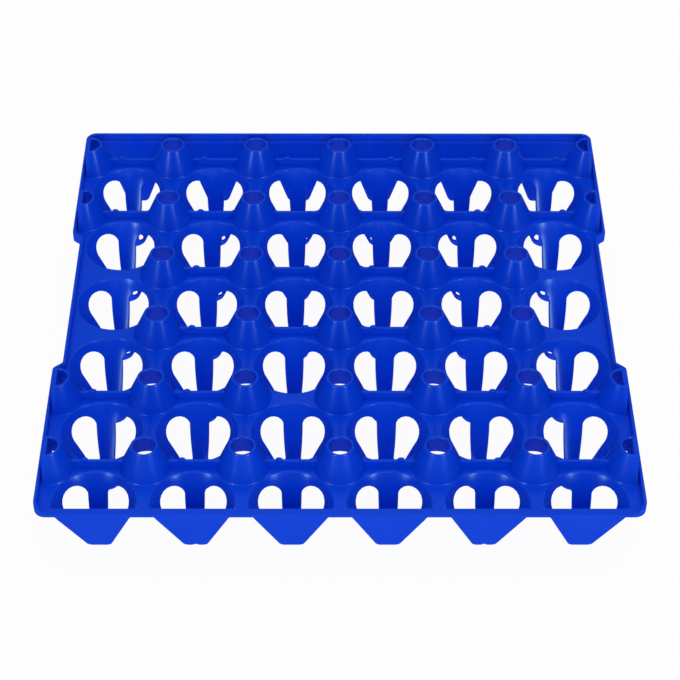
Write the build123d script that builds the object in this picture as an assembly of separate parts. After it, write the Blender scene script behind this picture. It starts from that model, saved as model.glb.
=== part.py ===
"""One-piece moulded egg tray: a deck of tapered, windowed cups with hollow posts between them."""
from build123d import *
import math
import os

# Driving sizes, in millimetres
pitch = 49.0              # cup to cup, both ways
columns = 6               # cups across the tray
rows = 5                  # full rows of cups, behind the half row at the front
height = 52.0             # foot of the cups to the top of the posts
deck_height = 36.8        # foot of the cups to the top of the deck
deck_thickness = 1.8
shell = 1.6               # wall of the cups and posts
side_reach = 29.2         # axis of an outer column to the outside of the rim
back_reach = 25.5         # last row of posts to the outside of the rim
front_reach = 8.3         # axis of the half row to the front edge of the deck
corner_cut = 3.5          # leg of the flat across each corner, in place of a rounding of 6
overrun = 3.0             # how far a cutting shape runs past what it cuts

# Cups
cup_sides = 12            # flat sides of a cup
mouth_radius = 20.2       # inside, at the top of the deck
foot_radius = 5.4         # inside, at the foot
lip_depth = 5.4           # top of the deck to the top of a window
foot_band = 4.0           # foot to the bottom of a window
rib_turn = 32.0           # angle that each of the four ribs spans, in degrees
head_width = 9.2          # flat part of a window's head
shoulder_rise = 5.52      # height of the sloping shoulders beside it, for a given run
shoulder_run = 4.6

# Half row and the panels along the front and back
panel_lean = 12.4         # how far a panel leans in, from the edge of the deck to its foot

# Posts
post_sides = 8
post_top_radius = 6.8
post_base_radius = 12.9   # at the top of the deck
half_post_inset = 2.8     # outside of the rim to the flat side of a half post
half_post_wall = 2.2      # thickness of that flat side

# Rim, finger recesses and ridges
rim_height = 4.4          # above the deck
rim_wall = 1.8
recess_length = 102.0     # along its floor
recess_depth = 4.9
recess_flare = 4.0        # how much further each end reaches at the mouth
ridge_rise = 4.7          # above the deck
ridge_wall = 1.8

# Places that follow from the sizes above
width = (columns - 1) * pitch + 2 * side_reach
depth = front_reach + (rows + 1 / 2) * pitch + back_reach
deck_foot = deck_height - deck_thickness
half_row_y = front_reach - depth / 2
cup_xs = [(c - (columns - 1) / 2) * pitch for c in range(columns)]
cup_ys = [half_row_y + r * pitch for r in range(1, rows + 1)]
post_xs = [(k - columns / 2) * pitch for k in range(columns + 1)]
post_ys = [half_row_y + (j + 1 / 2) * pitch for j in range(rows + 1)]
last_row_y = post_ys[-1] + pitch / 2
recess_y = (post_ys[0] + post_ys[-1]) / 2
cup_slope = (mouth_radius - foot_radius) / deck_height
cup_wall = shell * math.hypot(1, cup_slope)
panel_wall = shell * math.hypot(1, panel_lean / deck_foot)
post_slope = (post_base_radius - post_top_radius) / (height - deck_height)
post_wall = shell * math.hypot(1, post_slope)
diagonals = (45, 135, 225, 315)
open_ridge = (2, 1)       # column and post row, from the front left, with no ridge
on_base = (Align.CENTER, Align.CENTER, Align.MIN)


def ring(sides, z, radius):
    """Corners of a regular outline at a height, sized across its flats."""
    turn = 2 * math.pi / sides
    reach = radius / math.cos(turn / 2)
    angles = [turn * (i + 1 / 2) for i in range(sides)]
    return [Vector(reach * math.cos(a), reach * math.sin(a), z) for a in angles]


def frustum(sides, low, low_radius, high, high_radius):
    """Flat-sided cone between two heights, sized across its flats."""
    foot, head = ring(sides, low, low_radius), ring(sides, high, high_radius)
    loops = [foot, head] + [[foot[i - 1], foot[i], head[i], head[i - 1]] for i in range(sides)]
    return Solid(Shell([Face(Wire.make_polygon(loop)) for loop in loops]))


def cup_radius(z):
    """Inside radius of a cup at a height."""
    return foot_radius + cup_slope * z


def post_radius(z):
    """Outside radius of a post at a height."""
    return post_top_radius + post_slope * (height - z)


def cup_body():
    """Outside of a cup, filled in, from its foot to the deck."""
    return frustum(cup_sides, 0, cup_radius(0) + cup_wall, deck_height, cup_radius(deck_height) + cup_wall)


def cup_hollow():
    """Inside of a cup, open at the foot and at the mouth."""
    low, high = -overrun, deck_height + overrun
    return frustum(cup_sides, low, cup_radius(low), high, cup_radius(high))


def window(turn):
    """Tear-shaped window between two ribs: a wedge from the cup's axis under a sloping head."""
    tall = deck_height - lip_depth - foot_band
    reach = mouth_radius + cup_wall + overrun
    spread = reach * math.tan(math.radians(45 - rib_turn / 2))
    wedge = extrude(make_face(Polyline((0, 0), (reach, -spread), (reach, spread), close=True)), tall)
    head, foot = head_width / 2, head_width / 2 + tall * shoulder_run / shoulder_rise
    gable = make_face(Polyline((-foot, 0), (foot, 0), (head, tall), (-head, tall), close=True))
    along = Plane(origin=(0, 0, 0), x_dir=(0, 1, 0), z_dir=(1, 0, 0))
    return Pos(0, 0, foot_band) * Rot(0, 0, turn) * (wedge & extrude(along * gable, reach))


def cup_cut(turns):
    """Everything that is cut away for one cup."""
    return cup_hollow().fuse(*[window(turn) for turn in turns])


def beyond_panel(inset, strip):
    """All that lies past the panel of a half cup at the origin, moved in by an inset, and past a strip of the deck."""
    edge, low = -front_reach, -overrun
    foot_y = edge + inset + panel_lean * (deck_foot - low) / deck_foot
    corners = [(foot_y, low), (edge + inset, deck_foot), (edge + strip, deck_foot), (edge + strip, height),
               (edge - pitch, height), (edge - pitch, low)]
    side = Plane(origin=(-pitch / 2, 0, 0), x_dir=(0, 1, 0), z_dir=(1, 0, 0))
    return extrude(side * make_face(Polyline(*dict.fromkeys(corners), close=True)), pitch)


def panel():
    """Leaning panel of a half cup at the origin, as wide as the cup's outside where it cuts it."""
    return (cup_body() - beyond_panel(0, 0)) & beyond_panel(panel_wall, panel_wall)


def plan():
    """Outline of the tray in plan, with a finger recess in each side."""
    floor_x, mouth_x = width / 2 - recess_depth, width / 2 + overrun
    floor_y = recess_length / 2
    mouth_y = floor_y + recess_flare * (mouth_x - floor_x) / recess_depth
    outline = chamfer(Rectangle(width, depth).vertices(), corner_cut)
    for side in (-1, 1):
        corners = [(floor_x, -floor_y), (mouth_x, -mouth_y), (mouth_x, mouth_y), (floor_x, floor_y)]
        outline -= make_face(Polyline(*[(side * x, recess_y + y) for x, y in corners], close=True))
    return outline


def deck():
    """Flat deck."""
    return extrude(Pos(0, 0, deck_foot) * plan(), deck_thickness)


def rim():
    """Low wall round the back and sides, following the recesses and open at the front."""
    line = plan() - offset(plan(), -rim_wall, kind=Kind.INTERSECTION)
    wall = extrude(Pos(0, 0, deck_foot) * line, deck_thickness + rim_height)
    front = Box(width + overrun, 2 * (corner_cut + rim_wall), rim_height + overrun, align=on_base)
    return wall - Pos(0, -depth / 2, deck_height) * front


def post():
    """Outside of a post."""
    return frustum(post_sides, deck_foot, post_radius(deck_foot), height, post_top_radius)


def post_bore():
    """Inside of a post, open at the top and under the deck."""
    low, high = deck_foot - overrun, height + overrun
    return frustum(post_sides, low, post_radius(low) - post_wall, high, post_radius(high) - post_wall)


def half(shape, side, x):
    """The part of a post's shape on the tray's side of an upright plane."""
    inward = Align.MAX if side > 0 else Align.MIN
    tall = Box(pitch, pitch, 2 * height, align=(inward, Align.CENTER, Align.MIN))
    return shape & Pos(x, 0, 0) * tall


def half_posts(y):
    """Outside and inside of the two half posts at the ends of a row of posts."""
    axis = columns / 2 * pitch
    flat = width / 2 - half_post_inset - axis
    outsides, insides = [], []
    for side in (-1, 1):
        at = Pos(side * axis, y, 0)
        outsides.append(at * half(post(), side, side * flat))
        insides.append(at * half(post_bore(), side, side * (flat - half_post_wall)))
    return outsides, insides


def has_half_posts(y):
    """Half posts stand at the sides except along the finger recesses."""
    return abs(y - recess_y) > recess_length / 2


def ridge(k, j):
    """Low wall between two neighbouring posts of a row."""
    bar = Box(pitch, ridge_wall, deck_thickness + ridge_rise, align=on_base)
    return Pos((post_xs[k] + post_xs[k + 1]) / 2, post_ys[j], deck_foot) * bar


def has_ridge(k, j):
    """Ridges run from post to post, with one left out and none along the recesses."""
    outer = k in (0, columns - 1)
    return (k, j) != open_ridge and (has_half_posts(post_ys[j]) or not outer)


def front_cups():
    """Outsides and cuts of the half row at the front, closed by its panels."""
    outside = cup_body() - beyond_panel(0, 0)
    inside = cup_cut(diagonals[:2]) - beyond_panel(panel_wall, panel_wall)
    places = [Pos(x, half_row_y, 0) for x in cup_xs]
    return [at * outside for at in places], [at * inside for at in places]


def back_mouths():
    """Panels along the back, the front ones turned round, and the half mouths cut in the deck before them."""
    turned = Pos(0, -half_row_y - last_row_y, 0) * Rot(0, 0, 180)
    mouth = cup_hollow() - turned * beyond_panel(panel_wall, rim_wall)
    places = [Pos(x, last_row_y, 0) for x in cup_xs]
    return [at * turned * panel() for at in places], [at * mouth for at in places]


def cups():
    """Outsides and cuts of all the cups."""
    places = [Pos(x, y, 0) for x in cup_xs for y in cup_ys]
    body, cut = cup_body(), cup_cut(diagonals)
    front_outsides, front_cuts = front_cups()
    back_panels, back_cuts = back_mouths()
    outsides = [at * body for at in places] + front_outsides + back_panels
    return outsides, [at * cut for at in places] + front_cuts + back_cuts


def posts():
    """Outsides and bores of the posts and half posts."""
    places = [Pos(x, y, 0) for x in post_xs[1:-1] for y in post_ys]
    whole, bore = post(), post_bore()
    outsides, bores = [at * whole for at in places], [at * bore for at in places]
    for y in filter(has_half_posts, post_ys):
        more_outsides, more_bores = half_posts(y)
        outsides += more_outsides
        bores += more_bores
    return outsides, bores


def egg_tray():
    """The whole tray as one solid."""
    cup_outsides, cup_cuts = cups()
    post_outsides, post_bores = posts()
    ridges = [ridge(k, j) for k in range(columns) for j in range(rows + 1) if has_ridge(k, j)]
    tray = deck().fuse(rim(), *ridges, *cup_outsides, *post_outsides)
    return tray.cut(*cup_cuts, *post_bores)


os.makedirs("parts", exist_ok=True)
export_step(egg_tray(), "parts/egg_tray.step")
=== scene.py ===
"""Round-formed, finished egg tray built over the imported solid, with a plain studio around it."""
import math
from types import SimpleNamespace

import bmesh
import bpy
import numpy as np
from mathutils import Matrix, Vector


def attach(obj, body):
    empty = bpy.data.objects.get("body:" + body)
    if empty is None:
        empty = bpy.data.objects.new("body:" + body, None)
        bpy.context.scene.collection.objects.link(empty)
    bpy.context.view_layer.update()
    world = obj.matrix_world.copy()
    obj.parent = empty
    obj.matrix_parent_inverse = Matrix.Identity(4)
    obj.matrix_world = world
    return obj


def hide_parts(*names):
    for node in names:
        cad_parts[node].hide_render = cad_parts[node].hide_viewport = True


bl_info = {
    "name": "Moulded egg tray",
    "version": (1, 0, 0),
    "blender": (4, 5, 0),
    "location": "View3D > Sidebar > Egg tray",
    "description": "Builds a moulded egg tray of windowed cups and hollow posts, and a plain studio",
    "category": "Add Mesh",
}

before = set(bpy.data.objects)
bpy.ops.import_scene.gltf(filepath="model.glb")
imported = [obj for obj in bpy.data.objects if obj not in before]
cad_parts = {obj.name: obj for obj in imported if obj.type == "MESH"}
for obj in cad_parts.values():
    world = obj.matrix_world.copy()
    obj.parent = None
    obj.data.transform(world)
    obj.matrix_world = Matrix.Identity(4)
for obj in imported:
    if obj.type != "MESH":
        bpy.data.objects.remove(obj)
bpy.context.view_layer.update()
NODE = "egg_tray"
COLUMNS = 6
ROWS = 5
QUARTER = 12              # steps of a quarter turn round a cup
UPRIGHT = QUARTER + 2     # steps up a cup's wall
POST_STEPS = 40           # steps of a whole turn round a post
CUT_TURN = math.radians(26.5)   # where a post's cut-out meets the side of a deck tile
OPEN_RIDGE = (2, 1)       # column and post row, from the front left, with no ridge
MIDDLE_NUBS = (1, 0, -1, -1, 0, 1)   # nubs of the middle columns by post row: outward 1, inward -1, none 0
GATED_PANELS = (1, COLUMNS - 2)      # columns whose front panel has a gate's nick
SHARP = math.radians(32)  # edges that turn more than this stay sharp
MERGE = 2e-6              # points closer than this are one, in metres
ON_LINE = 1e-6            # slack along a tile's edges, in metres or radians
ON_PLANE = 1e-7           # slack of a test for lying on a plane or a circle, in metres

# The photograph's camera, in metres and degrees
CAMERA_PLACE = (-0.0044, -0.8017, 0.7682)
CAMERA_TILT, CAMERA_YAW, CAMERA_ROLL = 43.31, -0.343, 0.261
CAMERA_LENS = 104.65      # millimetres, for a sensor 36 wide


def length(name, default, description):
    """Length property in metres."""
    return bpy.props.FloatProperty(
        name=name, description=description, default=default, min=0.0, precision=5, unit="LENGTH"
    )


def angle(name, degrees, description):
    """Angle property, given in degrees."""
    return bpy.props.FloatProperty(
        name=name, description=description, default=math.radians(degrees), subtype="ANGLE"
    )


def colour(name, default, description):
    """Colour property, held as an sRGB hex value."""
    return bpy.props.StringProperty(name=name, description=description, default=default)


class TraySizes(bpy.types.PropertyGroup):
    """Sizes of the tray, in metres."""

    pitch: length("Pitch", 0.049, "Cup to cup, both ways")
    height: length("Height", 0.052, "Foot of the cups to the top of the posts")
    deck_height: length("Deck height", 0.0368, "Foot of the cups to the top of the deck")
    deck_thickness: length("Deck thickness", 0.0018, "Thickness of the flat deck")
    shell: length("Shell", 0.0016, "Wall of the cups and posts")
    side_reach: length("Side reach", 0.0292, "Axis of an outer column to the outside of the rim")
    back_reach: length("Back reach", 0.0255, "Last row of posts to the outside of the rim")
    front_reach: length("Front reach", 0.0083, "Axis of the half row to the front edge of the deck")
    corner_radius: length("Corner radius", 0.0060, "Corners of the tray in plan")
    mouth_radius: length("Mouth radius", 0.0211, "Inside of a cup at the top of the deck")
    foot_radius: length("Foot radius", 0.0055, "Inside of a cup at its foot")
    lip_round: length("Lip rounding", 0.0011, "Rounding of a cup's mouth")
    lip_depth_blend: length("Lip blend", 0.0020, "Height under the lip over which a half cup draws in")
    window_foot: length("Window foot", 0.0040, "Foot of the cup to the bottom of a window")
    window_top: length("Window top", 0.0323, "Foot of the cup to the top of a window")
    window_head: length("Window head", 0.0072, "Height of a window's rounded head")
    window_toe: length("Window toe", 0.0042, "Height of a window's rounded lower end")
    window_turn: angle("Window turn", 28.5, "Half the angle a window spans round the cup, at its head")
    toe_turn: angle("Toe turn", 22.0, "Half the angle a window spans round the cup, at its lower end")
    post_top: length("Post top", 0.0069, "Outer radius of a post at its top")
    post_base: length("Post base", 0.0132, "Outer radius of a post at the deck")
    post_wall: length("Post wall", 0.00135, "Wall of a post")
    half_post_inset: length("Half post inset", 0.0028, "Outside of the rim to the flat side of a half post")
    half_post_wall: length("Half post wall", 0.0022, "Thickness of that flat side")
    panel_lean: length("Panel lean", 0.0124, "How far a panel leans in, from deck to foot")
    panel_foot: length("Panel foot", 0.0056, "Half a front panel at its foot, before rounding")
    panel_head: length("Panel head", 0.0187, "Half a front panel under the deck")
    back_foot: length("Back panel foot", 0.0060, "Half a back panel at its foot, before rounding")
    back_head: length("Back panel head", 0.0214, "Half a back panel under the deck")
    panel_blend: length("Panel blend", 0.0060, "How far behind its axis a half cup starts to draw in")
    panel_corner: length("Panel corner", 0.0020, "Rounding of the foot of a panel")
    front_strip: length("Front strip", 0.0042, "Width of the deck along its front edge")
    gate_width: length("Gate width", 0.0032, "Nick in the foot of two panels")
    gate_depth: length("Gate depth", 0.0012, "Depth of that nick")
    rim_height: length("Rim height", 0.0044, "Rim above the deck")
    rim_wall: length("Rim wall", 0.0018, "Thickness of the rim")
    recess_length: length("Recess length", 0.102, "Finger recess along its floor")
    recess_depth: length("Recess depth", 0.0049, "Depth of a finger recess")
    recess_flare: length("Recess flare", 0.0040, "How much further each end reaches at the mouth")
    recess_round: length("Recess rounding", 0.0024, "Rounding of a recess's corners")
    ridge_rise: length("Ridge rise", 0.0047, "Ridges above the deck")
    ridge_wall: length("Ridge wall", 0.0018, "Thickness of a ridge")
    nub_radius: length("Nub radius", 0.0018, "Half-round nubs on the ridges")
    nub_offset: length("Nub offset", 0.0062, "Middle of a ridge to its nub")
    seam_wall: length("Seam rib", 0.0009, "Width of the thin ribs along the deck")
    seam_rise: length("Seam rise", 0.0008, "Height of the thin ribs along the deck")


class TrayColours(bpy.types.PropertyGroup):
    """Colours of the tray and the studio, as sRGB hex values."""

    plastic: colour("Plastic", "003FDA", "Royal blue polypropylene")
    plastic_shade: colour("Shade", "003ACE", "Its darker flow marks")
    gloss: colour("Gloss", "AAE7FF", "Tint of its gloss")
    floor: colour("Floor", "F4F4F4", "Pale studio floor")
    floor_mirrored: colour("Floor mirrored", "2C3A58", "The floor as the plastic mirrors it")


def sizes():
    """Sizes held by the scene."""
    return bpy.context.scene.egg_tray_sizes


def linear(code):
    """Linear colour, with alpha, from an sRGB hex value."""
    srgb = np.array([int(code[i:i + 2], 16) for i in (0, 2, 4)]) / 255
    value = np.where(srgb <= 0.04045, srgb / 12.92, ((srgb + 0.055) / 1.055) ** 2.4)
    return (*value.tolist(), 1.0)


def add_node(tree, kind, sockets, **settings):
    """Adds a node, sets its options, and sets or links its input sockets."""
    made = tree.nodes.new(kind)
    for name, value in settings.items():
        setattr(made, name, value)
    for name, value in sockets.items():
        if isinstance(value, bpy.types.NodeSocket):
            tree.links.new(value, made.inputs[name])
        else:
            made.inputs[name].default_value = value
    return made


def moulded_polypropylene():
    """Injection-moulded polypropylene: an even satin blue with faint flow marks and a slight orange peel."""
    material = bpy.data.materials.get("moulded_polypropylene_blue")
    if material:
        return material
    colours = bpy.context.scene.egg_tray_colours
    material = bpy.data.materials.new("moulded_polypropylene_blue")
    material.use_nodes = True
    tree = material.node_tree
    shader = tree.nodes["Principled BSDF"]
    place = add_node(tree, "ShaderNodeTexCoord", {})
    # flow marks some 30 mm long, stretched along the tray
    stretch = add_node(tree, "ShaderNodeMapping", {
        "Vector": place.outputs["Object"], "Scale": (1.0, 0.45, 1.0)})
    flow = add_node(tree, "ShaderNodeTexNoise", {
        "Vector": stretch.outputs["Vector"], "Scale": 1 / 0.030, "Detail": 2.0, "Roughness": 0.5})
    # sockets 0, 6 and 7 are the share and the two colours of a colour mix
    mix = add_node(tree, "ShaderNodeMix", {
        0: flow.outputs["Fac"], 6: linear(colours.plastic_shade), 7: linear(colours.plastic),
    }, data_type="RGBA")
    # the mould's own grain, 0.8 mm across, drawn as coarse as it needs to show
    grain = add_node(tree, "ShaderNodeTexNoise", {
        "Vector": place.outputs["Object"], "Scale": 1 / 0.0008, "Detail": 1.0, "Roughness": 0.5})
    gloss = add_node(tree, "ShaderNodeMapRange", {
        "Value": flow.outputs["Fac"], "To Min": 0.24, "To Max": 0.30})
    peel = add_node(tree, "ShaderNodeBump", {
        "Height": grain.outputs["Fac"], "Strength": 0.06, "Distance": 0.0001})
    tree.links.new(mix.outputs[2], shader.inputs["Base Color"])
    tree.links.new(gloss.outputs["Result"], shader.inputs["Roughness"])
    tree.links.new(peel.outputs["Normal"], shader.inputs["Normal"])
    shader.inputs["IOR"].default_value = 1.49
    shader.inputs["Specular IOR Level"].default_value = 0.2
    # the blue pigment near the surface tints the gloss
    shader.inputs["Specular Tint"].default_value = linear(colours.gloss)
    return material


def grid_faces(rows, cols, wrap=False):
    """Quads of a grid of points held row by row; wrap joins the last column to the first."""
    steps = cols if wrap else cols - 1
    row, col = np.meshgrid(np.arange(rows - 1), np.arange(steps), indexing="ij")
    here, after = row * cols + col, row * cols + (col + 1) % cols
    return np.stack([here, after, after + cols, here + cols], -1).reshape(-1, 4)


def sheet_of(points, wrap=False):
    """Part (points, quads) of an array of points shaped rows by columns by 3."""
    rows, cols = points.shape[:2]
    return points.reshape(-1, 3), grid_faces(rows, cols, wrap)


def join(parts):
    """One part of several."""
    starts = np.cumsum([0] + [len(points) for points, _ in parts[:-1]])
    return (
        np.concatenate([points for points, _ in parts]),
        np.concatenate([faces + start for (_, faces), start in zip(parts, starts)]),
    )


def repeat(part, places):
    """Copies of a part moved to each place."""
    points, faces = part
    places = np.asarray(places, float).reshape(-1, 1, 3)
    shifts = np.arange(len(places)).reshape(-1, 1, 1) * len(points)
    return (points + places).reshape(-1, 3), (faces + shifts).reshape(-1, 4)


def spread(x, y):
    """Places on the floor plane at every pair of an x and a y."""
    x, y = (a.ravel() for a in np.meshgrid(x, y))
    return np.stack([x, y, 0 * x], -1)


def plate(faces):
    """Plate between two like grids of points: both faces, and the edge that joins them all round."""
    loop = [np.concatenate([f[0], f[1:, -1], f[-1, -2::-1], f[-2:0:-1, 0]]) for f in faces]
    return join([sheet_of(faces[0]), sheet_of(faces[1]), sheet_of(np.stack(loop), True)])


def make_piece(name, part, clip=None):
    """Mesh object of a part: doubles merged, clipped if a plane is given, holes closed, faces outward."""
    points, faces = part
    mesh = bpy.data.meshes.new(name)
    mesh.vertices.add(len(points))
    mesh.vertices.foreach_set("co", np.ascontiguousarray(points, np.float32).ravel())
    mesh.loops.add(faces.size)
    mesh.loops.foreach_set("vertex_index", np.ascontiguousarray(faces, np.int32).ravel())
    mesh.polygons.add(len(faces))
    mesh.polygons.foreach_set("loop_start", np.arange(0, faces.size, 4, dtype=np.int32))
    mesh.update(calc_edges=True)
    work = bmesh.new()
    work.from_mesh(mesh)
    bmesh.ops.remove_doubles(work, verts=work.verts, dist=MERGE)
    bmesh.ops.dissolve_degenerate(work, dist=MERGE, edges=work.edges)
    if clip:
        bmesh.ops.bisect_plane(
            work, geom=work.verts[:] + work.edges[:] + work.faces[:], dist=ON_PLANE,
            plane_co=clip[0], plane_no=clip[1], clear_outer=True,
        )
    bmesh.ops.holes_fill(work, edges=[edge for edge in work.edges if edge.is_boundary], sides=0)
    bmesh.ops.recalc_face_normals(work, faces=work.faces)
    work.to_mesh(mesh)
    work.free()
    mesh.polygons.foreach_set("use_smooth", np.ones(len(mesh.polygons), bool))
    mesh.set_sharp_from_angle(angle=SHARP)
    mesh.materials.append(moulded_polypropylene())
    piece = bpy.data.objects.new(name, mesh)
    bpy.context.scene.collection.objects.link(piece)
    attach(piece, "root")
    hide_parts(NODE)


def layout(s):
    """Places that follow from the sizes: tray width and depth, cup and post axes."""
    width = (COLUMNS - 1) * s.pitch + 2 * s.side_reach
    depth = s.front_reach + (ROWS + 0.5) * s.pitch + s.back_reach
    half_row = s.front_reach - depth / 2
    cup_x = (np.arange(COLUMNS) - (COLUMNS - 1) / 2) * s.pitch
    cup_y = half_row + np.arange(1, ROWS + 1) * s.pitch
    post_x = (np.arange(COLUMNS + 1) - COLUMNS / 2) * s.pitch
    post_y = half_row + (np.arange(ROWS + 1) + 0.5) * s.pitch
    return SimpleNamespace(
        width=width, depth=depth, half_row=half_row, cup_x=cup_x, cup_y=cup_y, post_x=post_x, post_y=post_y
    )


def deck_foot(s):
    """Height of the deck's underside."""
    return s.deck_height - s.deck_thickness


def recess_middle(s):
    """Middle of the finger recesses, half way along the rows of posts."""
    post_y = layout(s).post_y
    return (post_y[0] + post_y[-1]) / 2


def side_line(s):
    """Where the tiles stop at the sides: the middle of the rim along the finger recesses."""
    return layout(s).width / 2 - s.recess_depth - s.rim_wall / 2


def tile_reach(s):
    """Axis of an outer column to the side line."""
    return side_line(s) - layout(s).cup_x[-1]


def cut_radius(s):
    """Radius of the deck's cut-out for a post, which meets a tile's side at the cut turn."""
    return s.pitch / 2 * (1 - math.tan(CUT_TURN))


def side_rows(s):
    """Which post rows end in half posts: those clear of the finger recesses."""
    return np.abs(layout(s).post_y - recess_middle(s)) > s.recess_length / 2


def cup_slope(s):
    """How much a cup widens per unit of height."""
    return (s.mouth_radius - s.foot_radius) / s.deck_height


def inner_radius(s, z):
    """Inside radius of a cup: a straight taper from foot to mouth."""
    return s.foot_radius + cup_slope(s) * z


def outer_radius(s, z):
    """Outside radius of a cup: the inside plus the wall measured level."""
    return inner_radius(s, z) + s.shell * math.hypot(1, cup_slope(s))


def lip_profile(s):
    """Radius and height along the rounded lip: an arc tangent to the cup's wall and to the deck."""
    tilt = math.atan(cup_slope(s))
    run = s.lip_round * math.tan((math.pi / 2 - tilt) / 2)
    turn = np.linspace(tilt, math.pi / 2, 6)
    centre_r = s.mouth_radius + run
    centre_z = s.deck_height - s.lip_round
    arc_r = centre_r - s.lip_round * np.cos(turn)
    arc_z = centre_z + s.lip_round * np.sin(turn)
    # a narrow flat ring past the arc, level with the deck
    edge = centre_r + 0.15 * s.lip_round
    return np.append(arc_r, edge), np.append(arc_z, s.deck_height)


def on_cone(turn, z, radius):
    """Points at an azimuth, a height and a radius."""
    turn, z, radius = np.broadcast_arrays(turn, z, radius)
    return np.stack([radius * np.cos(turn), radius * np.sin(turn), z], -1)


def window_patch(s, top, radius_of, middle):
    """Quarter of a cup's wall round one window.

    A point is a blend, by one parameter, from the window's edge to the quarter's edge, and runs round them
    by the other. The window's edge is, in azimuth and height, a tear: half an ellipse, a straight side that
    draws in towards the foot, half an ellipse. The quarter's edge is a rectangle, 90 degrees by the wall's
    height."""
    half, low = math.pi / 4, 0.0
    across = np.linspace(0, 1, QUARTER, endpoint=False)
    down = np.linspace(0, 1, UPRIGHT, endpoint=False)
    spring, heel = s.window_top - s.window_head, s.window_foot + s.window_toe
    head, toe = math.pi * (1 - across), -math.pi * across
    side = s.window_turn + (s.toe_turn - s.window_turn) * down
    hole = np.concatenate([
        np.stack([s.window_turn * np.cos(head), spring + s.window_head * np.sin(head)], -1),
        np.stack([side, spring + (heel - spring) * down], -1),
        np.stack([s.toe_turn * np.cos(toe), heel + s.window_toe * np.sin(toe)], -1),
        np.stack([side - s.window_turn - s.toe_turn, heel + (spring - heel) * down], -1),
    ])
    edge = np.concatenate([
        np.stack([-half + 2 * half * across, np.full_like(across, top)], -1),
        np.stack([np.full_like(down, half), top + (low - top) * down], -1),
        np.stack([half - 2 * half * across, np.full_like(across, low)], -1),
        np.stack([np.full_like(down, -half), low + (top - low) * down], -1),
    ])
    # the rings lie closer together near the window
    blend = np.array([0.0, 0.12, 0.45, 1.0]).reshape(-1, 1, 1)
    flat = hole + blend * (edge - hole)
    return on_cone(middle + flat[..., 0], flat[..., 1], radius_of(s, flat[..., 1]))


def plain_patch(s, top, radius_of, middle):
    """Quarter of a cup's wall with no window: azimuth by height."""
    turn = middle + np.linspace(-math.pi / 4, math.pi / 4, QUARTER + 1)
    z = np.linspace(0, top, UPRIGHT + 1).reshape(-1, 1)
    return on_cone(turn, z, radius_of(s, z))


def cup(s, windows, sunk=0.0):
    """One cup at the origin: inner and outer wall, window edges, foot ring and rounded lip.

    The walls are tapered surfaces of revolution, with a window in each listed quarter. The lip can be sunk a
    little, to run under a strip of the deck."""
    lip_r, lip_z = lip_profile(s)
    lip_r, lip_z = lip_r - cup_slope(s) * sunk, lip_z - sunk
    top_in = lip_z[0]
    top_out = (lip_r[-1] - outer_radius(s, 0)) / cup_slope(s)
    parts = []
    for quarter in range(4):
        middle = math.pi / 4 + quarter * math.pi / 2
        if quarter in windows:
            inside = window_patch(s, top_in, inner_radius, middle)
            outside = window_patch(s, top_out, outer_radius, middle)
            parts += [sheet_of(inside, True), sheet_of(outside, True)]
            parts.append(sheet_of(np.stack([inside[0], outside[0]]), True))
        else:
            parts.append(sheet_of(plain_patch(s, top_in, inner_radius, middle)))
            parts.append(sheet_of(plain_patch(s, top_out, outer_radius, middle)))
    turn = np.linspace(0, 2 * math.pi, 4 * QUARTER, endpoint=False)
    lip_r, lip_z = np.append(lip_r, lip_r[-1]), np.append(lip_z, top_out)
    lip = on_cone(turn, lip_z.reshape(-1, 1), lip_r.reshape(-1, 1))
    foot = on_cone(turn, 0.0, np.array([[inner_radius(s, 0)], [outer_radius(s, 0)]]))
    return join(parts + [sheet_of(lip, True), sheet_of(foot, True)])


def panel_y(s, z, depth_in):
    """Place of a panel's face from the half row's axis at a height: a straight lean from the deck's edge."""
    return -s.front_reach + s.panel_lean * np.maximum(deck_foot(s) - z, 0) / deck_foot(s) + depth_in


def panel_half(s, z, foot, head):
    """Half the width of a panel at a height: straight sides from foot to head."""
    return foot + (head - foot) * z / deck_foot(s)


def panel(s, foot, head, gated=False):
    """Leaning panel: width by height, with straight sides.

    The lower edge rises to round the corners, and to leave the gate's nick where there is one."""
    # shares of half the width, closer together at the corners and beside the nick
    wide = np.array([-1, -0.985, -0.94, -0.86, -0.75, -0.66, -0.35, -0.33, 0])
    wide = np.concatenate([wide, -wide[-2::-1]])
    corner = s.panel_corner / foot
    past = np.clip((np.abs(wide) - (1 - corner)) / corner, 0, 1)
    lift = s.panel_corner * (1 - np.sqrt(1 - past ** 2))
    nick = np.where(np.abs(wide) < s.gate_width / 2 / foot, s.gate_depth, 0) if gated else 0
    rise = np.linspace(0, 1, 12).reshape(-1, 1)
    z = (lift + nick) * (1 - rise) + (s.deck_height - 0.6 * s.deck_thickness) * rise
    half = panel_half(s, z, foot, head)
    # outer and inner face: a hair behind the deck's edge, and the shell's thickness measured level
    insets = (0.00005, 1.06 * s.shell)
    return plate([np.stack([wide * half, panel_y(s, z, inset), z], -1) for inset in insets])


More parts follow.
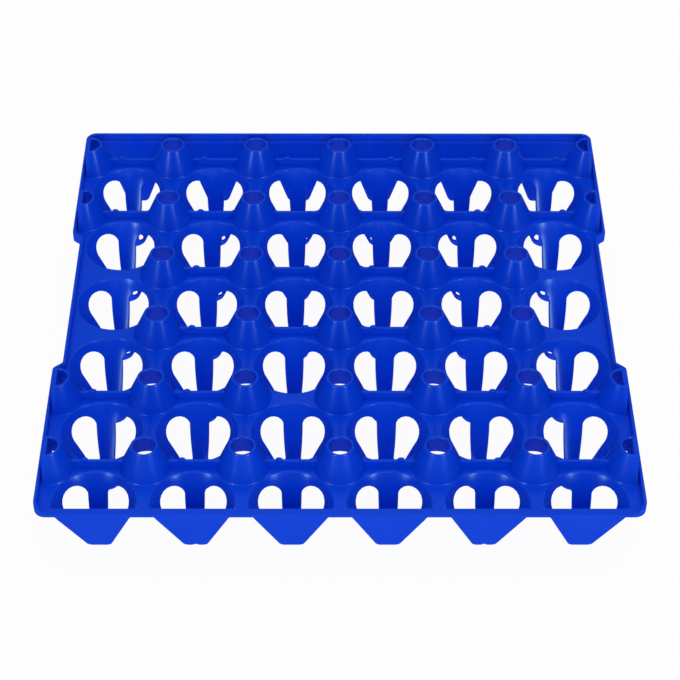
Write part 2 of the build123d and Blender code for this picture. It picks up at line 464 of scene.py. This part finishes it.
def half_cup(s):
    """Cup of the half row: windows at the back only, drawn in sideways to the straight sides of its panel.

    The draw grows smoothly from a line behind the axis to the panel's face."""
    hairline = 0.00002    # how far the lip runs under the strip of deck along the front
    points, faces = cup(s, (0, 1), hairline)
    x, y, z = points.T
    face = panel_y(s, z, 0)
    # half the cup's chord along the panel, kept from vanishing where the panel nearly misses the cup
    radius = outer_radius(s, z)
    full = np.sqrt(radius ** 2 - np.minimum(face ** 2, 0.9 * radius ** 2))
    near = np.clip((s.panel_blend - y) / (s.panel_blend - face), 0, 1)
    near = near ** 2 * (3 - 2 * near)
    draw = 1 - near * (1 - np.minimum(panel_half(s, z, s.panel_foot, s.panel_head) / full, 1))
    low = np.clip((s.deck_height - s.lip_round - z) / s.lip_depth_blend, 0, 1)
    return np.stack([x * (1 + low * (draw - 1)), y, z], -1), faces


def post_outer(s, z):
    """Outside radius of a post: a straight taper from the deck to the top."""
    return s.post_top + (s.post_base - s.post_top) * (s.height - z) / (s.height - s.deck_height)


def post_inner(s, z):
    """Inside radius of a post: the outside less the wall measured level."""
    slope = (s.post_base - s.post_top) / (s.height - s.deck_height)
    return post_outer(s, z) - s.post_wall * math.hypot(1, slope)


def post(s):
    """Hollow post at the origin: a closed profile of radius and height, turned about the axis.

    The profile goes up the outside from a small fillet on the deck, over a rounded top and down inside."""
    fillet, edge = 0.0007, 0.45 * s.post_wall
    bend = np.linspace(0, 1, 4)
    base_z = s.deck_height + fillet * bend ** 2
    base_r = post_outer(s, s.deck_height) + fillet * 0.7 * (1 - bend) ** 2
    arc = np.linspace(0, math.pi / 2, 4)
    low = s.height - edge
    out_r = post_outer(s, low) - edge * (1 - np.cos(arc))
    in_r = post_inner(s, low) + edge * (1 - np.cos(arc[::-1]))
    foot, under = deck_foot(s), s.deck_height - 0.3 * s.deck_thickness
    z = np.concatenate([[foot, under], base_z, low + edge * np.sin(arc), low + edge * np.sin(arc[::-1]),
                        [s.deck_height, foot]])
    r = np.concatenate([[post_outer(s, s.deck_height), base_r[0]], base_r, out_r, in_r,
                        [post_inner(s, s.deck_height), post_inner(s, foot)]])
    r, z = np.append(r, r[0]), np.append(z, z[0])
    turn = np.linspace(0, 2 * math.pi, POST_STEPS, endpoint=False)
    return sheet_of(on_cone(turn, z.reshape(-1, 1), r.reshape(-1, 1)), True)


def half_post_wall(s, near, far, side):
    """Flat side of a half post: a plate between two upright planes, as wide at each height as the post."""
    short = 0.0001        # how far the plate stops under the post's top
    across = np.linspace(-1, 1, 9)
    z = np.linspace(s.deck_height - 0.5 * s.deck_thickness, s.height - short, 8).reshape(-1, 1)
    half = np.sqrt(np.maximum(post_outer(s, z) ** 2 - max(abs(near), abs(far)) ** 2, 0))
    flat = 0 * z * across
    return plate([np.stack([side * x + flat, half * across, z + flat], -1) for x in (near, far)])


def bar(start, end, wall, low, high, crown):
    """Low wall between two points in plan: a profile with a rounded top, carried from one to the other.

    The profile is half the wall each side, straight up, then half an ellipse of the crown's height."""
    start, end = np.asarray(start, float), np.asarray(end, float)
    along = (end - start) / np.linalg.norm(end - start)
    out = np.array([-along[1], along[0]])
    arc = np.linspace(0, math.pi, 7)
    u = np.concatenate([[wall / 2], wall / 2 * np.cos(arc), [-wall / 2]])
    v = np.concatenate([[low], high - crown + crown * np.sin(arc), [low]])
    stations = start + (end - start) * np.linspace(0, 1, 3).reshape(-1, 1)
    plan = stations[:, None, :] + u[None, :, None] * out
    points = np.concatenate([plan, np.broadcast_to(v.reshape(1, -1, 1), plan.shape[:2] + (1,))], -1)
    return sheet_of(points, True)


def nub(s):
    """Nub at the origin: half an ellipse, as thick as the ridge and a little more, with eased edges."""
    turn = np.linspace(0, math.pi, 13)
    tall = 0.62           # height as a share of the radius
    half = 0.62 * s.ridge_wall
    y = np.array([-half, -half, -0.75 * half, 0.75 * half, half, half]).reshape(-1, 1)
    size = np.array([0.0, 0.86, 1.0, 1.0, 0.86, 0.0]).reshape(-1, 1) * s.nub_radius
    return sheet_of(np.stack([size * np.cos(turn), y + 0 * turn, tall * size * np.sin(turn)], -1))


def rim_path(s):
    """Middle line of the rim in plan, from the front left corner round the back to the front right one.

    A polyline with each corner replaced by an arc tangent to both its sides."""
    at = layout(s)
    inset = s.rim_wall / 2
    x, floor = at.width / 2 - inset, side_line(s)
    front, back = -at.depth / 2 + inset, at.depth / 2 - inset
    mid, half, flare = recess_middle(s), s.recess_length / 2 + inset / 2, s.recess_flare
    tray, step = s.corner_radius - inset, s.recess_round
    left = [
        (-x + s.corner_radius, front, 0), (-x, front, tray),
        (-x, mid - half - flare, step), (-floor, mid - half, step),
        (-floor, mid + half, step), (-x, mid + half + flare, step), (-x, back, tray),
    ]
    corners = np.array(left + [(-a, b, r) for a, b, r in left[::-1]])
    place, radius = corners[:, :2], corners[1:-1, 2:]
    into = place[1:-1] - place[:-2]
    away = place[2:] - place[1:-1]
    into /= np.linalg.norm(into, axis=1, keepdims=True)
    away /= np.linalg.norm(away, axis=1, keepdims=True)
    turn = np.arctan2(into[:, 0] * away[:, 1] - into[:, 1] * away[:, 0], (into * away).sum(1)).reshape(-1, 1)
    start = place[1:-1] - into * radius * np.tan(np.abs(turn) / 2)
    centre = start + np.sign(turn) * radius * np.stack([-into[:, 1], into[:, 0]], -1)
    sweep = turn.reshape(-1, 1, 1) * np.linspace(0, 1, 8).reshape(1, -1, 1)
    spoke = (start - centre)[:, None, :]
    turned = np.concatenate([
        spoke[..., :1] * np.cos(sweep) - spoke[..., 1:] * np.sin(sweep),
        spoke[..., :1] * np.sin(sweep) + spoke[..., 1:] * np.cos(sweep),
    ], -1)
    return np.concatenate([place[:1], (centre[:, None, :] + turned).reshape(-1, 2), place[-1:]])


def rim(s):
    """Rim: a profile with a rounded top carried along the path, dying into the deck at the front corners."""
    path = rim_path(s)
    step = np.gradient(path, axis=0)
    step /= np.linalg.norm(step, axis=1, keepdims=True)
    out = np.stack([-step[:, 1], step[:, 0]], -1)
    run = np.concatenate([[0], np.cumsum(np.linalg.norm(np.diff(path, axis=0), axis=1))])
    reach = 1.6 * s.corner_radius
    least = 0.03          # share of the rim's height at its two ends
    grow = np.clip(np.minimum(run, run[-1] - run) / reach, 0, 1)
    grow = least + (1 - least) * grow ** 2 * (3 - 2 * grow)
    arc = np.linspace(0, math.pi, 9)
    crown, half, foot = 0.4 * s.rim_wall, s.rim_wall / 2, -s.deck_thickness
    u = np.concatenate([[half, half], half * np.cos(arc), [-half, -half]])
    v = np.concatenate([[foot, 0], s.rim_height - crown + crown * np.sin(arc), [0, foot]])
    plan = path[:, None, :] + u[None, :, None] * out[:, None, :]
    lift = np.where(v > 0, v * grow.reshape(-1, 1), v)
    return sheet_of(np.concatenate([plan, (s.deck_height + lift)[..., None]], -1), True)


def tile_angles(s, extra=()):
    """Azimuths of a deck tile's spokes: even steps, corners, ends of the posts' cut-outs, any extra ones."""
    even = np.arange(4 * QUARTER) * math.pi / 2 / QUARTER
    cut = np.array([CUT_TURN, math.pi / 2 - CUT_TURN])
    ends = (cut[:, None] + np.arange(4) * math.pi / 2).ravel()
    corner = math.atan2(s.pitch / 2, tile_reach(s))
    corners = [corner, math.pi - corner, math.pi + corner, 2 * math.pi - corner]
    return np.unique(np.round(np.concatenate([even, ends, corners, np.mod(extra, 2 * math.pi)]), 9))


def tile_edge(s, turn, left, right, front, back, posts):
    """Distance along each spoke to a tile's outer edge, and whether that edge lies inside a post.

    The edge is the nearest of the tile's four sides and of the circles cut out for the posts at its corners,
    where a spoke meets a circle at the nearer root of a quadratic."""
    cos, sin = np.cos(turn), np.sin(turn)
    tiny = 1e-12          # keeps a division from failing
    touch = 1e-9          # slack for a spoke that just touches a circle, in square metres
    far_x = np.where(cos > 0, right[:, None], left[:, None]) / np.maximum(np.abs(cos), tiny)
    far_y = np.where(sin > 0, back, front) / np.maximum(np.abs(sin), tiny)
    edge = np.minimum(far_x, far_y)
    half, radius = s.pitch / 2, cut_radius(s)
    in_post = np.zeros(edge.shape, bool)
    for (sx, sy), here in posts.items():
        ahead = half * (sx * cos + sy * sin)
        inside = ahead ** 2 - (2 * half ** 2 - radius ** 2)
        hit = np.where((inside > -touch) & (ahead > 0), ahead - np.sqrt(np.maximum(inside, 0)), np.inf)
        hit = np.where(here[:, None], hit[None, :], np.inf)
        in_post |= hit <= edge + ON_PLANE
        edge = np.minimum(edge, hit)
    return edge, in_post


def tiles(s, centres, turn, hole, edge, wall, whole=True):
    """Deck tiles: spokes from a mouth to the tile's edge, above and below, with the walls that close them.

    Each surface is a grid of azimuth by share of the way from mouth to edge, whole or half way round."""
    top, foot = s.deck_height, deck_foot(s)
    share = np.array([0.0, 0.5, 1.0]).reshape(1, -1, 1)
    reach = hole[None, None, :] + share * (edge[:, None, :] - hole[None, None, :])
    upper = on_cone(turn, top, reach) + centres[:, None, None, :]
    # the underside reaches a little further in, to end inside the cup's wall
    shrink = np.maximum(hole - 0.0002, 0)
    reach = shrink[None, None, :] + share * (edge[:, None, :] - shrink[None, None, :])
    lower = on_cone(turn, foot, reach) + centres[:, None, None, :]
    parts = []
    for k in range(len(edge)):
        parts += [sheet_of(upper[k], whole), sheet_of(lower[k], whole)]
        parts.append(sheet_of(np.stack([upper[k, 0], lower[k, 0]]), whole))
        points, faces = sheet_of(np.stack([upper[k, -1], lower[k, -1]]), whole)
        keep = wall[k] & np.roll(wall[k], -1)
        parts.append((points, faces[keep[:len(faces)]]))
    return join(parts)


def tile_sides(s, col):
    """Reach of the tiles of the listed columns to the left and to the right."""
    half, side = s.pitch / 2, tile_reach(s)
    return np.where(col == 0, side, half), np.where(col == COLUMNS - 1, side, half)


def outer_side(s, col, x):
    """Which points of the tiles' edges lie on the sides along the rim."""
    line = tile_reach(s) - ON_LINE
    return ((col == 0)[:, None] & (x < -line)) | ((col == COLUMNS - 1)[:, None] & (x > line))


def full_tiles(s):
    """Tiles of the full cups."""
    at = layout(s)
    col, row = (a.ravel() for a in np.meshgrid(np.arange(COLUMNS), np.arange(ROWS)))
    half = s.pitch / 2
    left, right = tile_sides(s, col)
    ends = side_rows(s)
    turn = tile_angles(s)
    posts = {}
    for sx, sy in ((-1, -1), (1, -1), (1, 1), (-1, 1)):
        k, j = col + (sx > 0), row + (sy > 0)
        posts[sx, sy] = ((k > 0) & (k < COLUMNS)) | ends[j]
    edge, in_post = tile_edge(s, turn, left, right, half, half, posts)
    outer = outer_side(s, col, edge * np.cos(turn))
    hole = np.full(len(turn), lip_profile(s)[0][-1])
    return tiles(s, spread(at.cup_x, at.cup_y), turn, hole, edge, in_post | outer)


def half_tiles(s):
    """Tiles of the half row, whose mouths end at the panels and whose front is the tray's front edge."""
    at = layout(s)
    half, side = s.pitch / 2, tile_reach(s)
    lip = lip_profile(s)[0][-1]
    stop = s.front_strip - s.front_reach
    meet = math.asin(stop / lip)
    fronts = [math.atan2(-s.front_reach, x) for x in (-half, half, -side, side)]
    turn = tile_angles(s, [meet, math.pi - meet] + fronts)
    sin = np.sin(turn)
    tiny = 1e-9           # keeps a division from failing
    hole = np.where(sin < 0, np.minimum(lip, stop / np.minimum(sin, -tiny)), lip)
    col = np.arange(COLUMNS)
    left, right = tile_sides(s, col)
    every = np.full(COLUMNS, True)
    edge, in_post = tile_edge(s, turn, left, right, s.front_reach, half, {(1, 1): every, (-1, 1): every})
    outer = outer_side(s, col, edge * np.cos(turn)) | (edge * sin < -s.front_reach + ON_LINE)
    return tiles(s, spread(at.cup_x, at.half_row), turn, hole, edge, in_post | outer)


def back_tiles(s):
    """Half tiles along the back, round the half mouths, which end at the rim."""
    at = layout(s)
    half = s.pitch / 2
    turn = tile_angles(s)
    turn = np.append(turn[turn > math.pi - ON_LINE], 2 * math.pi)
    col = np.arange(COLUMNS)
    left, right = tile_sides(s, col)
    every = np.full(COLUMNS, True)
    edge, in_post = tile_edge(s, turn, left, right, half, half, {(1, -1): every, (-1, -1): every})
    outer = outer_side(s, col, edge * np.cos(turn))
    hole = np.full(len(turn), lip_profile(s)[0][-1])
    return tiles(s, spread(at.cup_x, at.post_y[-1] + half), turn, hole, edge, in_post | outer, False)


def back_lip(s):
    """Rounded edge of a half mouth at the origin: the lip's profile, closed below, turned half way round."""
    lip_r, lip_z = lip_profile(s)
    foot = deck_foot(s)
    r = np.concatenate([lip_r, [lip_r[-1], inner_radius(s, foot)], lip_r[:1]]).reshape(-1, 1)
    z = np.concatenate([lip_z, [foot, foot], lip_z[:1]]).reshape(-1, 1)
    turn = np.linspace(math.pi, 2 * math.pi, 2 * QUARTER + 1)
    return sheet_of(on_cone(turn, z, r))


def strip(s, inner, outer):
    """Flat plate of the deck's thickness between two lines in plan of as many points."""
    lines = np.stack([inner, outer])
    levels = (s.deck_height, deck_foot(s))
    return plate([np.concatenate([lines, np.full(lines.shape[:2] + (1,), z)], -1) for z in levels])


def margins(s):
    """Deck between the tiles and the rim: a strip along each side.

    Each is ruled between the tiles' edge, notched where half posts stand, and the rim's middle line."""
    at = layout(s)
    path = rim_path(s)
    right = path[len(path) // 2:][::-1]
    flat = at.width / 2 - s.half_post_inset - s.half_post_wall
    reach = math.sqrt(cut_radius(s) ** 2 - (at.post_x[-1] - flat) ** 2)
    rows = at.post_y[side_rows(s)]
    jumps = np.concatenate([rows - reach, rows + reach])
    y = np.sort(np.concatenate([right[:, 1], jumps - ON_LINE, jumps + ON_LINE]))
    y = y[(y >= right[0, 1]) & (y <= right[-1, 1])]
    ahead = np.interp(y, right[:, 1], right[:, 0])
    near = np.where((np.abs(y[:, None] - rows) < reach).any(1), flat, side_line(s))
    far = np.maximum(ahead, near)
    return join([strip(s, np.stack([sign * near, y], -1), np.stack([sign * far, y], -1)) for sign in (-1, 1)])


def ridge_places(s):
    """Column and post row of every ridge."""
    ends = side_rows(s)
    col, row = (a.ravel() for a in np.meshgrid(np.arange(COLUMNS), np.arange(ROWS + 1)))
    inner = (col > 0) & (col < COLUMNS - 1)
    keep = (inner | ends[row]) & ~((col == OPEN_RIDGE[0]) & (row == OPEN_RIDGE[1]))
    return col[keep], row[keep]


class EGGTRAY_OT_deck(bpy.types.Operator):
    """Flat deck, with a round opening for each cup and each post"""

    bl_idname = "egg_tray.deck"
    bl_label = "Deck"

    def execute(self, context):
        s = sizes()
        make_piece("deck", join([full_tiles(s), half_tiles(s), back_tiles(s)]))
        make_piece("deck_margins", margins(s))
        return {"FINISHED"}


class EGGTRAY_OT_cups(bpy.types.Operator):
    """Tapered cups with four windows each"""

    bl_idname = "egg_tray.cups"
    bl_label = "Cups"

    def execute(self, context):
        s = sizes()
        at = layout(s)
        make_piece("cups", repeat(cup(s, (0, 1, 2, 3)), spread(at.cup_x, at.cup_y)))
        return {"FINISHED"}


class EGGTRAY_OT_half_row(bpy.types.Operator):
    """Half cups along the front, half mouths along the back, and the leaning panels that close both"""

    bl_idname = "egg_tray.half_row"
    bl_label = "Half row"

    def execute(self, context):
        s = sizes()
        at = layout(s)
        places = spread(at.cup_x, at.half_row)
        face = Vector((0, at.half_row + panel_y(s, 0, s.shell / 2), 0))
        normal = Vector((0, -deck_foot(s), -s.panel_lean)).normalized()
        make_piece("half_cups", repeat(half_cup(s), places), clip=(face, normal))
        gated = np.isin(np.arange(COLUMNS), GATED_PANELS)
        plain, nicked = (panel(s, s.panel_foot, s.panel_head, nick) for nick in (False, True))
        make_piece("front_panels", join([repeat(plain, places[~gated]), repeat(nicked, places[gated])]))
        points, faces = repeat(panel(s, s.back_foot, s.back_head), places)
        make_piece("back_panels", (points * (-1, -1, 1), faces))
        make_piece("back_lips", repeat(back_lip(s), spread(at.cup_x, at.post_y[-1] + s.pitch / 2)))
        return {"FINISHED"}


class EGGTRAY_OT_posts(bpy.types.Operator):
    """Hollow posts between the cups, and half posts at the sides"""

    bl_idname = "egg_tray.posts"
    bl_label = "Posts"

    def execute(self, context):
        s = sizes()
        at = layout(s)
        make_piece("posts", repeat(post(s), spread(at.post_x[1:-1], at.post_y)))
        axis = at.post_x[-1]
        flat = at.width / 2 - s.half_post_inset - axis
        middle = axis + flat - s.half_post_wall / 2
        for sign, name in ((-1, "left"), (1, "right")):
            places = spread(sign * axis, at.post_y[side_rows(s)])
            plane = (Vector((sign * middle, 0, 0)), Vector((sign, 0, 0)))
            make_piece(f"half_posts_{name}", repeat(post(s), places), clip=plane)
            wall = half_post_wall(s, flat - s.half_post_wall, flat, sign)
            make_piece(f"half_post_walls_{name}", repeat(wall, places))
        return {"FINISHED"}


class EGGTRAY_OT_ridges(bpy.types.Operator):
    """Ridges from post to post with their half-round nubs, and thin ribs along the deck"""

    bl_idname = "egg_tray.ridges"
    bl_label = "Ridges"

    def execute(self, context):
        s = sizes()
        at = layout(s)
        col, row = ridge_places(s)
        reach = post_inner(s, s.deck_height + s.ridge_rise) + 0.7 * s.shell
        half = s.pitch / 2 - reach
        low, high = s.deck_height - 0.5 * s.deck_thickness, s.deck_height + s.ridge_rise
        ridge = bar((-half, 0), (half, 0), s.ridge_wall, low, high, 0.3 * s.ridge_wall)
        places = np.stack([at.cup_x[col], at.post_y[row], 0 * at.cup_x[col]], -1)
        make_piece("ridges", repeat(ridge, places))
        side = np.where(col < COLUMNS / 2, -1, 1)
        middle = (col == COLUMNS // 2 - 1) | (col == COLUMNS // 2)
        side = np.where(middle, side * np.array(MIDDLE_NUBS)[row], side)
        sunk = 0.0002     # how far a nub's flat foot lies in its ridge
        nubs = places + np.stack([side * s.nub_offset, 0 * side, 0 * side + high - sunk], -1)
        make_piece("ridge_nubs", repeat(nub(s), nubs[side != 0]))
        clear = post_outer(s, s.deck_height) - 0.3 * s.shell
        high = s.deck_height + s.seam_rise
        seam = bar((0, clear), (0, s.pitch - clear), s.seam_wall, low, high, s.seam_wall / 2)
        make_piece("seam_ribs", repeat(seam, spread(at.post_x[1:-1], at.post_y[:-1])))
        return {"FINISHED"}


class EGGTRAY_OT_rim(bpy.types.Operator):
    """Low rim round the sides and back, with a narrow ledge along its foot at the back"""

    bl_idname = "egg_tray.rim"
    bl_label = "Rim"

    def execute(self, context):
        s = sizes()
        make_piece("rim", rim(s))
        ledge_wall, ledge_rise, ledge_crown = 0.0012, 0.0002, 0.0004
        x, y = side_line(s), layout(s).depth / 2 - s.rim_wall - ledge_wall / 4
        high = s.deck_height + ledge_rise
        make_piece("back_ledge", bar((-x, y), (x, y), ledge_wall, deck_foot(s), high, ledge_crown))
        return {"FINISHED"}


class EGGTRAY_OT_stage(bpy.types.Operator):
    """Pale floor, soft studio light and the camera"""

    bl_idname = "egg_tray.stage"
    bl_label = "Stage"

    def execute(self, context):
        scene = context.scene
        scene.view_settings.view_transform = "Standard"
        colours = scene.egg_tray_colours
        mesh = bpy.data.meshes.new("floor")
        far = 4.0
        corners = [(-far, -far, 0), (far, -far, 0), (far, far, 0), (-far, far, 0)]
        mesh.from_pydata(corners, [], [(0, 1, 2, 3)])
        floor = bpy.data.objects.new("floor", mesh)
        scene.collection.objects.link(floor)
        mesh.materials.append(self.floor_paint(colours))
        self.world(scene)
        middle = (0, 0, 0.03)
        self.lamp(scene, "overhead", place=(0.1, 0.15, 1.6), target=(0, 0, 0), size=(1.8, 1.8), watts=9.0)
        self.lamp(scene, "front_soft", place=(0.1, -1.7, 0.9), target=middle, size=(1.0, 1.0), watts=8.0)
        # the two strips only show in the gloss, as the pair of upright streaks on each post
        for name, side in (("left_strip", -1), ("right_strip", 1)):
            place = (side * 1.15, -1.55, 0.50)
            strip_lamp = self.lamp(scene, name, place, target=middle, size=(0.08, 1.0), watts=42.0)
            strip_lamp.visible_diffuse = False
        self.camera(scene)
        return {"FINISHED"}

    def floor_paint(self, colours):
        """Lit white studio floor: near white to the camera, with a trace of the tray's shadow.

        It gives soft light from below, as a light table does, and is dim in reflections."""
        material = bpy.data.materials.new("matt_floor_paint")
        material.use_nodes = True
        tree = material.node_tree
        tree.nodes.clear()
        out = tree.nodes.new("ShaderNodeOutputMaterial")
        matt = add_node(tree, "ShaderNodeBsdfDiffuse", {"Color": linear(colours.floor)})
        path = add_node(tree, "ShaderNodeLightPath", {})
        # 1 is white to the camera, and the light from below is 1.4 times as strong
        glow = add_node(tree, "ShaderNodeMapRange", {
            "Value": path.outputs["Is Diffuse Ray"], "To Min": 1.0, "To Max": 1.4})
        white = add_node(tree, "ShaderNodeEmission", {
            "Color": (1, 1, 1, 1), "Strength": glow.outputs["Result"]})
        # the other twentieth of what the camera sees is the paint, which holds the shadow
        seen = add_node(tree, "ShaderNodeMath", {
            0: path.outputs["Is Camera Ray"], 1: 0.95}, operation="MULTIPLY")
        lit = add_node(tree, "ShaderNodeMath", {
            0: path.outputs["Is Diffuse Ray"], 1: seen.outputs[0]}, operation="ADD")
        dull = add_node(tree, "ShaderNodeBsdfDiffuse", {"Color": linear(colours.floor_mirrored)})
        kind = add_node(tree, "ShaderNodeMixShader", {
            0: path.outputs["Is Glossy Ray"], 1: matt.outputs["BSDF"], 2: dull.outputs["BSDF"]})
        mix = add_node(tree, "ShaderNodeMixShader", {
            0: lit.outputs[0], 1: kind.outputs[0], 2: white.outputs["Emission"]})
        tree.links.new(mix.outputs[0], out.inputs["Surface"])
        return material

    def world(self, scene):
        """Even white surround."""
        world = bpy.data.worlds.new("studio")
        world.use_nodes = True
        tree = world.node_tree
        back = tree.nodes["Background"]
        back.inputs["Color"].default_value = (1, 1, 1, 1)
        path = add_node(tree, "ShaderNodeLightPath", {})
        # dimmer in reflections than in the light it gives, so the blue stays deep, and white to the camera
        level = add_node(tree, "ShaderNodeMapRange", {
            "Value": path.outputs["Is Glossy Ray"], "To Min": 0.55, "To Max": 0.25})
        seen = add_node(tree, "ShaderNodeMath", {
            0: level.outputs["Result"], 1: path.outputs["Is Camera Ray"]}, operation="MAXIMUM")
        tree.links.new(seen.outputs[0], back.inputs["Strength"])
        scene.world = world

    def lamp(self, scene, name, place, target, size, watts):
        """Rectangular lamp aimed at a point, with its size in metres."""
        data = bpy.data.lights.new(name, "AREA")
        data.shape = "RECTANGLE"
        data.size, data.size_y = size
        data.energy = watts
        lamp = bpy.data.objects.new(name, data)
        lamp.location = place
        lamp.rotation_euler = (Vector(target) - Vector(place)).to_track_quat("-Z", "Y").to_euler()
        scene.collection.objects.link(lamp)
        return lamp

    def camera(self, scene):
        """Camera with the photograph's place, tilt and angle of view."""
        data = bpy.data.cameras.new("camera")
        data.sensor_width = 36.0
        data.lens = CAMERA_LENS
        data.clip_start = 0.05
        camera = bpy.data.objects.new("camera", data)
        turns = ((CAMERA_YAW, "Z"), (90 - CAMERA_TILT, "X"), (CAMERA_ROLL, "Z"))
        yaw, tip, roll = (Matrix.Rotation(math.radians(turn), 4, axis) for turn, axis in turns)
        camera.matrix_world = Matrix.Translation(CAMERA_PLACE) @ yaw @ tip @ roll
        scene.collection.objects.link(camera)
        scene.camera = camera


class EGGTRAY_PT_panel(bpy.types.Panel):
    """Sidebar panel of the egg tray"""

    bl_idname = "EGGTRAY_PT_panel"
    bl_label = "Egg tray"
    bl_space_type = "VIEW_3D"
    bl_region_type = "UI"
    bl_category = "Egg tray"

    def draw(self, context):
        for group in (context.scene.egg_tray_sizes, context.scene.egg_tray_colours):
            for name in group.__annotations__:
                self.layout.prop(group, name)
        for operator in OPERATORS:
            self.layout.operator(operator.bl_idname)


OPERATORS = (
    EGGTRAY_OT_deck, EGGTRAY_OT_cups, EGGTRAY_OT_half_row, EGGTRAY_OT_posts,
    EGGTRAY_OT_ridges, EGGTRAY_OT_rim, EGGTRAY_OT_stage,
)
CLASSES = (TraySizes, TrayColours) + OPERATORS + (EGGTRAY_PT_panel,)


def register():
    """Registers the classes and gives the scene its sizes and colours."""
    for made in CLASSES:
        bpy.utils.register_class(made)
    bpy.types.Scene.egg_tray_sizes = bpy.props.PointerProperty(type=TraySizes)
    bpy.types.Scene.egg_tray_colours = bpy.props.PointerProperty(type=TrayColours)


def unregister():
    """Removes the classes and the scene's sizes and colours."""
    del bpy.types.Scene.egg_tray_colours
    del bpy.types.Scene.egg_tray_sizes
    for made in reversed(CLASSES):
        bpy.utils.unregister_class(made)


def main():
    """Builds the tray and the studio."""
    register()
    bpy.ops.egg_tray.deck()
    bpy.ops.egg_tray.cups()
    bpy.ops.egg_tray.half_row()
    bpy.ops.egg_tray.posts()
    bpy.ops.egg_tray.ridges()
    bpy.ops.egg_tray.rim()
    bpy.ops.egg_tray.stage()


if __name__ == "__main__":
    main()
